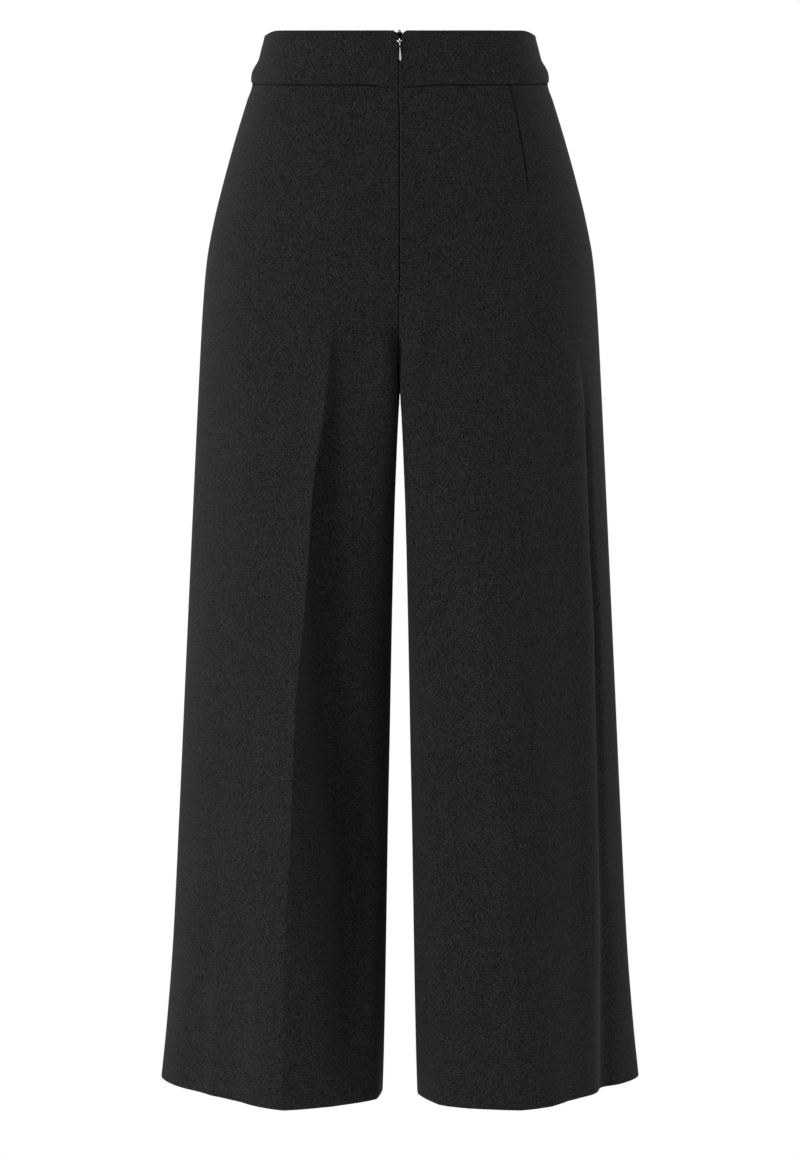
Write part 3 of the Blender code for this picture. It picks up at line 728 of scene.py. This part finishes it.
def topDip(face, x):
    sideRoll = band["topDipSide"] * np.clip((x - band["topFlatTo"]) / band["topDipRun"], 0, 1) ** 2
    if face == "back":
        return sideRoll
    return np.maximum(sideRoll, mix(band["topDipFront"], band["topDipSide"],
                                    ease(*band["topDipFrontOver"], x)))


def bandHeights():
    seam, top = -band["depth"], band["topRadius"]
    edge = turnedEdge(band["edgeRadius"], panel["waistTurn"])
    rows = [(seam + inset, depth) for inset, depth in edge]
    rows += [(z, 0.0) for z in np.linspace(seam + 2, -top - 1.2, band["faceRows"])]
    angles = np.linspace(0, math.pi, band["topRows"])
    rows += [(-top + top * math.sin(a), top * (1 - math.cos(a))) for a in angles]
    rows += [(z, 2 * top) for z in np.linspace(-top - 1.5, band["facingZ"], band["facingRows"])]
    return np.array(rows)


# Outer points of one half of the band with its facing, inner edge first.
def bandHalf(leg, face):
    back = face == "back"
    radius = band["edgeRadius"]
    edge = turnedEdge(radius, band["seamTurn"], panel["lap"])
    edgeIn, edgeDeep = np.array(edge).T

    def stationsAt(z, points, walked, creaseAt):
        total = walked[-1]
        main = spreadBetween(radius if back else 0, total - radius, band["beside"], band["columns"])
        inner = [edgeIn, main[1:-1]] if back else [main[:-1]]
        return np.concatenate(inner + [total - edgeIn[::-1]])

    form = Face(leg, face, stationsAt, band["facingZ"] - 6, 0)
    rowZ, rowDeep = bandHeights().T
    count = form.layers.shape[1]
    z = np.repeat(rowZ[:, None], count, axis=1)
    x = form.at(z)[..., 0]
    lower = topDip(face, x) * ease(band["dipsEnd"], 0, z)
    if back:
        lower = lower + waistDip(x) * ease(band["dipsEnd"], -band["depth"], z)
    z = z - lower
    found = form.at(z)
    fromInner, fromSide = found[..., 5], found[..., 7]
    proud = band["padding"] * np.sin(np.clip(-rowZ / band["depth"], 0, 1) * math.pi)
    proud += band["seamPuff"] * np.where(rowDeep < 1, ease(*band["seamPuffOver"], rowZ), 0)
    proud = np.repeat(proud[:, None], count, axis=1)
    if (face, leg) == ("back", right):
        proud += lipRaised(fromInner, rowZ[:, None]) * (rowDeep < 1.3)[:, None]
    facingRow = np.arange(len(rowZ)) >= len(rowZ) - band["facingRows"]
    clear = band["facingClear"] * facingRow * ease(*band["facingBends"], rowZ)
    clear = clear[:, None] * facingRoom(face, fromInner, fromSide)
    deep = np.maximum(rowDeep[:, None], edgeDepths(count, edgeDeep, back)[None, :]) - proud + clear
    points = np.dstack([found[..., 0:2], z]) - found[..., 2:5] * deep[..., None]
    if not back:
        points[:, 0, 0] = 0
    points[..., 0] *= leg
    uvs = np.dstack([fromInner * leg, z])

    # behind the top edge and the facing, the turned ends of the band are left out
    squares, inside = len(rowZ) - 1, band["topRows"] + band["facingRows"]
    turned, rounded = len(band["seamTurn"]), len(edge) - 1
    drop = np.outer(atEnds(squares, len(panel["waistTurn"]), inside),
                    atEnds(count - 1, turned * back, turned))
    drop |= np.outer(atEnds(squares, 0, inside - 1), atEnds(count - 1, rounded * back, rounded))
    return points, uvs, ~drop


def addBand(name, grids, node):
    piece = clothPiece(name, *grids, band["wall"], crepeCloth)
    assign(piece, "garment", node)
    print("sewed", name, len(piece.data.polygons), "squares")


addBand("bandBackLeftCloth", flipped(bandHalf(left, "back")), "waistband_back_left")
addBand("bandBackRightCloth", bandHalf(right, "back"), "waistband_back_right")
bothHalves = zip(flipped(bandHalf(right, "front")), bandHalf(left, "front"), (1, 1, 0))
addBand("bandFrontCloth",
        [np.concatenate([one, other[:, shared:]], axis=1) for one, other, shared in bothHalves],
        "waistband_front")

# The concealed zip.
zipper = {
    "endZ": -203.0,
    "tapeTopZ": -3.5,
    "tapeRows": 70,
    "tapeX": (2.7, 3.1, 5.0, 8.0, 11.5, 13.2),
    "tapeDeep": (0.5, 0.1, 0, 0, 0, 0),
    "tapeBelow": (-9, -11.5),
    "tapeDeepBelow": (0.6, 0.8, 0, 0, 0, 0),
    "tapeMeets": 0.12,       # below the slider both tapes meet behind the chain
    "tapeWall": 0.55,
    "clearOfWall": 0.35,
    "coilTopZ": -14.0,
    "coilDeep": 0.55,
    "toothPitch": 1.15,
    "toothWidth": 4.6,
    "toothRadius": 0.36,
    "toothEdge": 0.14,
    "toothTilt": 0.10,
    "hingeZ": -8.6,          # the pull's eye turns on the slider's bridge here
    "standOff": 1.1,         # out from the band's face
    "aside": -0.45,          # the chain sits a little left, under the lap of the right lip
    "lean": math.atan2(95 - 88, 48),
}


# Just clear of the band's inner face above the waist seam, and of the panel's below.
def insideWall(z):
    return mix(1.6, 2.4, ease(-66, -54, z)) + zipper["clearOfWall"]


def zipFrame():
    faceY = backSeam.at("y", zipper["hingeZ"])
    place = Vector((zipper["aside"], faceY - zipper["standOff"], zipper["hingeZ"])) * mm
    return Matrix.Translation(place) @ Matrix.Rotation(-zipper["lean"], 4, "X")


# Even stuff with a fine grain in its tone, shine and relief.
def plainMaterial(name, colour, roughness, scale, bump, surface):
    material, tree, shader = newMaterial(name)
    link = tree.links.new
    place = addNode(tree, "TexCoord")
    grain = addNode(tree, "TexNoise", {"Scale": scale, "Detail": 3.0})
    link(place.outputs["Object"], grain.inputs["Vector"])
    tone = addTone(tree, [c * 0.8 for c in colour], [min(1, c * 1.15) for c in colour])
    shine = addNode(tree, "MapRange", {"To Min": roughness * 0.8, "To Max": roughness * 1.25})
    relief = addNode(tree, "Bump", {"Strength": 0.4, "Distance": bump})
    for node, socket, result, target in ((tone, "Factor", "Result", "Base Color"),
                                         (shine, "Value", "Result", "Roughness"),
                                         (relief, "Height", "Normal", "Normal")):
        link(grain.outputs["Fac"], node.inputs[socket])
        link(node.outputs[result], shader.inputs[target])
    setInputs(shader, surface)
    return material


tapeWeave = plainMaterial("zipTapeWeave", (0.012, 0.012, 0.0125), 0.85, 2600, 0.0001,
                          {"Specular IOR Level": 0.15})
coilNylon = plainMaterial("zipCoilNylon", (0.006, 0.006, 0.0065), 0.55, 900, 0.00002,
                          {"Specular IOR Level": 0.12})
sliderMetal = plainMaterial("blackNickel", (0.006, 0.006, 0.0065), 0.42, 1500, 0.00001,
                            {"Metallic": 1, "Specular Tint": (0.25, 0.25, 0.25, 1)})
# Bright nickel: the bridge's own metal, and laid as a painted highlight on the pull tab and in the
# slider nose's hollow.
brightNickel = plainMaterial("nickelAndPaintedHighlight", (0.72, 0.72, 0.73), 0.18, 1200, 0.000005,
                          {"Metallic": 1})


def zipTape(leg, name):
    widths = np.array(zipper["tapeX"])

    def tapeStations(z, points, walked, creaseAt):
        return np.interp(widths, points[:creaseSample, 0], walked[:creaseSample])

    form = Face(leg, "back", tapeStations, zipper["endZ"], 0)
    rowZ = np.linspace(zipper["tapeTopZ"], zipper["endZ"], zipper["tapeRows"])
    z = np.repeat(rowZ[:, None], len(widths), axis=1)
    found = form.at(z)
    below = ease(*zipper["tapeBelow"], z)
    deep = (insideWall(z) + np.array(zipper["tapeDeep"])[None, :]
            + below * np.array(zipper["tapeDeepBelow"])[None, :])
    points = np.dstack([found[..., 0:2], z]) - found[..., 2:5] * deep[..., None]
    points[:, 0, 0] = mix(points[:, 0, 0], zipper["tapeMeets"], below[:, 0])
    points[..., 0] *= leg
    uvs = np.dstack([found[..., 5] * leg, z])
    grids = [points, uvs, np.ones((len(rowZ) - 1, len(widths) - 1), bool)]
    return clothPiece(name, *(flipped(grids) if leg == right else grids), zipper["tapeWall"],
                      tapeWeave)


for leg, name, node in ((left, "zipTapeLeft", "zip_tape_left"),
                        (right, "zipTapeRight", "zip_tape_right")):
    tape = zipTape(leg, name)
    assign(tape, "garment", node)
print("zip tapes woven")


def onlySelected(piece):
    bpy.ops.object.select_all(action="DESELECT")
    piece.select_set(True)
    bpy.context.view_layer.objects.active = piece


def newPiece(name):
    piece = bpy.context.object
    piece.name = piece.data.name = name
    bpy.ops.object.transform_apply(location=True, rotation=True, scale=True)
    return piece


def applyModifiers(piece):
    onlySelected(piece)
    for modifier in list(piece.modifiers):
        bpy.ops.object.modifier_apply(modifier=modifier.name)


# Leaves the mesh in edit mode, with the parts selected whose points pass the test.
def selectWhere(piece, kind, test):
    bpy.ops.object.mode_set(mode="EDIT")
    bpy.ops.mesh.select_all(action="DESELECT")
    bpy.ops.mesh.select_mode(type=kind)
    bpy.ops.object.mode_set(mode="OBJECT")
    mesh = piece.data
    for part in {"VERT": mesh.vertices, "EDGE": mesh.edges, "FACE": mesh.polygons}[kind]:
        if kind == "EDGE":
            one, other = (mesh.vertices[i].co for i in part.vertices)
            part.select = bool(test(one, other))
        else:
            part.select = bool(test(part.co if kind == "VERT" else part.center))
    bpy.ops.object.mode_set(mode="EDIT")


def extrudeBy(x, y, z):
    bpy.ops.mesh.extrude_region_move(TRANSFORM_OT_translate={"value": (x * mm, y * mm, z * mm)})


def bevelEdges(piece, width, segments):
    edges = piece.modifiers.new("edges", "BEVEL")
    edges.width = width * mm
    edges.segments = segments
    edges.limit_method = "ANGLE"
    applyModifiers(piece)
    return piece


def coilChain():
    bpy.ops.mesh.primitive_cylinder_add(vertices=8, radius=zipper["toothRadius"] * mm,
                                        depth=zipper["toothWidth"] * mm,
                                        rotation=(0, math.pi / 2, 0))
    tooth = newPiece("zipCoilTooth")
    selectWhere(tooth, "FACE", lambda c: abs(c.x) > 2 * mm)
    bpy.ops.mesh.bevel(offset=zipper["toothEdge"] * mm, segments=1, affect="EDGES")
    bpy.ops.object.mode_set(mode="OBJECT")
    corners = np.array([v.co[:] for v in tooth.data.vertices])
    faces = [list(face.vertices) for face in tooth.data.polygons]
    allCorners, allFaces = [], []
    for i in range(int((zipper["coilTopZ"] - zipper["endZ"]) / zipper["toothPitch"])):
        z = zipper["coilTopZ"] - i * zipper["toothPitch"]
        y = backSeam.at("y", z) + insideWall(z) + zipper["coilDeep"]
        tilt = zipper["toothTilt"] * (1 if i % 2 else -1)
        moved = corners.copy()
        moved[:, 2] += corners[:, 0] * tilt + z * mm
        moved[:, 1] += y * mm
        allFaces += [[k + i * len(corners) for k in face] for face in faces]
        allCorners.append(moved)
    mesh = bpy.data.meshes.new("zipCoilTeeth")
    mesh.from_pydata(np.concatenate(allCorners).tolist(), [], allFaces)
    mesh.shade_smooth()
    mesh.materials.append(coilNylon)
    piece = bpy.data.objects.new("zipCoilTeeth", mesh)
    bpy.context.collection.objects.link(piece)
    bpy.data.objects.remove(tooth, do_unlink=True)
    return piece


assign(coilChain(), "garment", "zip_coil")
print("zip coil closed")

# The slider's parts, from the hinge: x across, y into the garment, z up.
slider = {
    "bodySize": (5.6, 2.5, 11.0),
    "bodyMiddle": (0, 5.15, 1.9),
    "bodyEdge": 0.55,
    "bodyFoot": 0.66,        # its lower end is this much narrower
    "bodyWaist": 0.86,
    "bodyFaceInset": 0.7,
    "bodyFaceRaise": 0.35,
    "noseRadius": 1.35,      # the top of the slider's post, seen above the notch
    "noseMiddle": (0, 4.9, 8.35),
    "noseDepth": 1.4,
    "noseEdge": 0.09,
    "noseRim": 0.45,
    "noseSunk": 0.25,
    "studRim": 0.2,          # a small stud stands in the nose's hollow
    "studRise": 0.4,
    "studTaper": 0.7,
    "bridgeRadius": 1.35,    # the wire loop that the pull hangs from
    "bridgeWire": 0.4,
    "bridgeReach": 4.4,
}


def sliderBody():
    bpy.ops.object.select_all(action="DESELECT")
    bpy.ops.mesh.primitive_cube_add(size=1, location=Vector(slider["bodyMiddle"]) * mm,
                                    scale=Vector(slider["bodySize"]) * mm)
    body = newPiece("zipSliderBody")
    low = (slider["bodyMiddle"][2] - slider["bodySize"][2] / 2) * mm
    selectWhere(body, "VERT", lambda co: co.z < low + 0.1 * mm)
    bpy.ops.transform.resize(value=(slider["bodyFoot"], 1, 1))
    selectWhere(body, "EDGE", lambda a, b: abs(a.z - b.z) > 5 * mm)
    bpy.ops.mesh.subdivide(number_cuts=2)
    selectWhere(body, "VERT", lambda co: low + 1 * mm < co.z < low + 5 * mm)
    bpy.ops.transform.resize(value=(slider["bodyWaist"], 1, 1))
    selectWhere(body, "FACE", lambda c: c.y < (slider["bodyMiddle"][1] - 1.2) * mm)
    bpy.ops.mesh.inset(thickness=slider["bodyFaceInset"] * mm)
    extrudeBy(0, -slider["bodyFaceRaise"], 0)
    bpy.ops.object.mode_set(mode="OBJECT")
    return bevelEdges(body, slider["bodyEdge"], 3)


def sliderNose():
    bpy.ops.object.select_all(action="DESELECT")
    front = (slider["noseMiddle"][1] - slider["noseDepth"] / 2) * mm
    bpy.ops.mesh.primitive_cylinder_add(vertices=32, radius=slider["noseRadius"] * mm,
                                        depth=slider["noseDepth"] * mm,
                                        rotation=(math.pi / 2, 0, 0),
                                        location=Vector(slider["noseMiddle"]) * mm)
    nose = newPiece("zipSliderNose")
    selectWhere(nose, "FACE", lambda c: c.y < front + 0.1 * mm)
    bpy.ops.mesh.inset(thickness=slider["noseRim"] * mm)
    extrudeBy(0, slider["noseSunk"], 0)
    bpy.ops.mesh.inset(thickness=slider["studRim"] * mm)
    extrudeBy(0, -slider["studRise"], 0)
    bpy.ops.transform.resize(value=(slider["studTaper"], 1, slider["studTaper"]))
    bpy.ops.object.mode_set(mode="OBJECT")
    # The nose's rim is black nickel; its hollow and stud take bright nickel as a painted highlight.
    nose.data.materials.append(sliderMetal)
    nose.data.materials.append(brightNickel)
    for face in nose.data.polygons:
        middle = face.center - Vector(slider["noseMiddle"]) * mm
        inside = math.hypot(middle.x, middle.z) < (slider["noseRadius"] - 0.5) * mm
        face.material_index = int(inside and face.center.y < front + 0.4 * mm)
    return bevelEdges(nose, slider["noseEdge"], 2)


def sliderBridge():
    bpy.ops.object.select_all(action="DESELECT")
    bpy.ops.mesh.primitive_torus_add(major_radius=slider["bridgeRadius"] * mm,
                                     minor_radius=slider["bridgeWire"] * mm, major_segments=36,
                                     minor_segments=14, rotation=(0, math.pi / 2, 0))
    bridge = newPiece("zipSliderBridge")
    bpy.ops.object.mode_set(mode="EDIT")
    bpy.ops.mesh.select_all(action="SELECT")
    bpy.ops.mesh.bisect(plane_co=(0, 0.0001 * mm, 0), plane_no=(0, 1, 0), clear_outer=True)
    selectWhere(bridge, "EDGE", lambda a, b: max(abs(a.y), abs(b.y)) < 0.01 * mm)
    extrudeBy(0, slider["bridgeReach"], 0)
    bpy.ops.mesh.select_all(action="SELECT")
    bpy.ops.mesh.fill_holes(sides=0)
    bpy.ops.mesh.select_all(action="SELECT")
    bpy.ops.mesh.normals_make_consistent(inside=False)
    bpy.ops.object.mode_set(mode="OBJECT")
    return bridge


# Moves a piece from the hinge's own frame to its place on the garment.
def putInPlace(piece, place):
    piece.matrix_world = place
    onlySelected(piece)
    bpy.ops.object.transform_apply(location=True, rotation=True, scale=True)


sliderParts = [sliderNose(), sliderBody(), sliderBridge()]
for part, metal in zip(sliderParts[1:], (sliderMetal, brightNickel)):
    part.data.materials.append(metal)
onlySelected(sliderParts[0])
for part in sliderParts[1:]:
    part.select_set(True)
bpy.ops.object.join()
zipSlider = bpy.context.object
zipSlider.name = zipSlider.data.name = "zipSlider"
putInPlace(zipSlider, zipFrame())
bpy.ops.object.shade_smooth_by_angle(angle=math.radians(35))
assign(zipSlider, "garment", "zip_slider")
print("slider made")

# The pull tab: distance down from the hinge and half its width there.
pull = {
    "outline": ((-0.45, 1.25), (-0.1, 1.75), (0.43, 2.05), (0.9, 2.02), (1.5, 1.68), (2.12, 1.3),
                (2.7, 0.98), (3.4, 0.79), (4.6, 0.77), (5.3, 0.70), (5.8, 0.56), (7.0, 0.62),
                (9.0, 0.93), (12.0, 1.4), (15.0, 1.78), (17.0, 1.95), (18.6, 1.76), (19.3, 1.2),
                (19.65, 0.6)),
    "columns": (-1, -0.74, -0.45, 0, 0.45, 0.74, 1),
    "eye": (0.43, 2.12),
    "eyeHalf": 0.6,
    "wall": 0.9,
    "rim": 0.93,             # from this share of its half width its edge is thinned
    "rimThin": 0.45,
    "rimEnds": (-19.5, 0.4),
    "shoulder": 0.6,         # and from here a little
    "shoulderThin": 0.86,
    # the share of its width painted with a highlight in bright nickel, down its length; the rest
    # keeps the pull's own black nickel
    "highlightShare": ((-0.45, 0), (0.1, 0), (0.4, 1.1), (1.9, 1.1), (2.3, 0.3), (2.8, 0.66), (5.0, 0.66),
                 (5.5, 0), (6.5, 0), (7.2, 0.5), (12.0, 0.52), (18.0, 0.5), (19.0, 0.2),
                 (19.65, 0)),
    "hangs": 2.5,            # degrees it hangs to the right
}


def pullTab():
    bpy.ops.object.select_all(action="DESELECT")
    (topDown, topHalf), rest = pull["outline"][0], pull["outline"][1:]
    columns = pull["columns"]
    bpy.ops.mesh.primitive_grid_add(x_subdivisions=len(columns) - 1, y_subdivisions=1, size=2,
                                    rotation=(math.pi / 2, 0, 0))
    tab = newPiece("zipPullTab")
    bpy.ops.object.mode_set(mode="EDIT")
    bpy.ops.mesh.select_all(action="DESELECT")
    bpy.ops.object.mode_set(mode="OBJECT")
    xs = sorted({round(v.co.x, 5) for v in tab.data.vertices})
    for vertex in tab.data.vertices:
        place = columns[xs.index(round(vertex.co.x, 5))]
        down, half = (topDown, topHalf) if vertex.co.z > 0 else rest[0]
        vertex.co = Vector((place * half, 0, -down)) * mm
    lowest = -(rest[0][0] - 0.01) * mm
    selectWhere(tab, "EDGE", lambda a, b: a.z < lowest and b.z < lowest)
    for (down, half), (nextDown, nextHalf) in zip(rest, rest[1:]):
        extrudeBy(0, 0, down - nextDown)
        bpy.ops.transform.resize(value=(nextHalf / half, 1, 1), center_override=(0, 0, 0))
    bpy.ops.object.mode_set(mode="OBJECT")
    eyeTop, eyeBottom = pull["eye"]
    selectWhere(tab, "FACE",
                lambda c: eyeTop < -c.z / mm < eyeBottom and abs(c.x) < pull["eyeHalf"] * mm)
    bpy.ops.mesh.delete(type="FACE")
    bpy.ops.mesh.select_all(action="SELECT")
    bpy.ops.mesh.normals_make_consistent(inside=False)
    bpy.ops.object.mode_set(mode="OBJECT")
    thick = tab.modifiers.new("wall", "SOLIDIFY")
    thick.thickness = pull["wall"] * mm
    thick.offset = 0
    applyModifiers(tab)
    foot, head = pull["rimEnds"]
    selectWhere(tab, "VERT", lambda co: abs(co.x) / mm > pull["rim"] * pullHalf(-co.z / mm)
                or co.z < foot * mm or co.z > head * mm)
    bpy.ops.transform.resize(value=(1, pull["rimThin"], 1), center_override=(0, 0, 0))
    selectWhere(tab, "VERT", lambda co:
                pull["shoulder"] < abs(co.x) / mm / pullHalf(-co.z / mm) < pull["rim"])
    bpy.ops.transform.resize(value=(1, pull["shoulderThin"], 1), center_override=(0, 0, 0))
    bpy.ops.object.mode_set(mode="OBJECT")
    smooth = tab.modifiers.new("round", "SUBSURF")
    smooth.levels = smooth.render_levels = 2
    applyModifiers(tab)
    tab.data.shade_smooth()
    return tab


def pullHalf(down):
    return np.interp(down, *np.array(pull["outline"]).T)


zipPull = pullTab()
# The pull is black nickel; bright nickel is laid on its front and back faces as a painted
# highlight.
zipPull.data.materials.append(sliderMetal)
zipPull.data.materials.append(brightNickel)
for face in zipPull.data.polygons:
    down = -face.center.z / mm
    share = abs(face.center.x) / mm / pullHalf(down)
    highlightShare = np.interp(down, *np.array(pull["highlightShare"]).T)
    face.material_index = int(share < highlightShare and abs(face.normal.y) > 0.5)
putInPlace(zipPull, zipFrame() @ Matrix.Rotation(math.radians(-pull["hangs"]), 4, "Y"))
assign(zipPull, "pull", "zip_pull")
print("pull hung")

# Light, floor and camera.
studio = {
    "floorZ": -1.6,
    "floorTone": 0.8,
    "floorRoughness": 0.9,
    "floorRadius": 1.3,
    "roomLight": 0.66,
    "lampsAway": 4,
    "cameraPlace": (0, -3.42, -0.012),
    "cameraTilt": 8.35,
    "sensorHeight": 36,
    "lens": 113.4,
}

bpy.ops.object.select_all(action="DESELECT")
bpy.ops.mesh.primitive_circle_add(vertices=96, radius=studio["floorRadius"], fill_type="NGON",
                                  location=(0, 0, studio["floorZ"]))
floor = bpy.context.object
floor.name = "paleFloor"
floorPaint, tree, shader = newMaterial("paleFloorPaint")
setInputs(shader, {"Base Color": (*[studio["floorTone"]] * 3, 1),
                   "Roughness": studio["floorRoughness"]})
floor.data.materials.append(floorPaint)

# The camera sees plain white, while the room's own light is dimmer.
world = bpy.data.worlds.new("whiteStudio")
bpy.context.scene.world = world
world.use_nodes = True
tree = world.node_tree
white = (1, 1, 1, 1)
dim = setInputs(tree.nodes["Background"], {"Color": white, "Strength": studio["roomLight"]})
plain = addNode(tree, "Background", {"Color": white})
rays = addNode(tree, "LightPath")
seen = addNode(tree, "MixShader")
for i, source in enumerate((rays.outputs["Is Camera Ray"], dim.outputs[0], plain.outputs[0])):
    tree.links.new(source, seen.inputs[i])
tree.links.new(seen.outputs[0], tree.nodes["World Output"].inputs[0])

# Broad soft lights. turn is how far round to the left of the camera each one stands.
softLights = (
    {"name": "frontLeft", "turn": 52, "rise": -6, "spread": 26, "power": 2.1},
    {"name": "sideRight", "turn": -87, "rise": 2, "spread": 22, "power": 0.9},
    {"name": "backLeft", "turn": 98, "rise": 2, "spread": 26, "power": 0.6},
)
for light in softLights:
    lamp = bpy.data.lights.new(light["name"], "SUN")
    lamp.energy = light["power"]
    lamp.angle = math.radians(light["spread"])
    holder = bpy.data.objects.new(light["name"], lamp)
    turn, rise = math.radians(light["turn"]), math.radians(light["rise"])
    level = math.cos(rise)
    toLight = Vector((-math.sin(turn) * level, -math.cos(turn) * level, math.sin(rise)))
    holder.location = toLight * studio["lampsAway"]
    holder.rotation_euler = (-toLight).to_track_quat("-Z", "Y").to_euler()
    bpy.context.collection.objects.link(holder)

camera = bpy.data.objects.new("camera", bpy.data.cameras.new("camera"))
camera.location = studio["cameraPlace"]
camera.rotation_euler = (math.radians(90 - studio["cameraTilt"]), 0, 0)
camera.data.sensor_fit = "VERTICAL"
camera.data.sensor_height = studio["sensorHeight"]
camera.data.lens = studio["lens"]
bpy.context.collection.objects.link(camera)
bpy.context.scene.camera = camera
bpy.context.scene.view_settings.view_transform = "Standard"
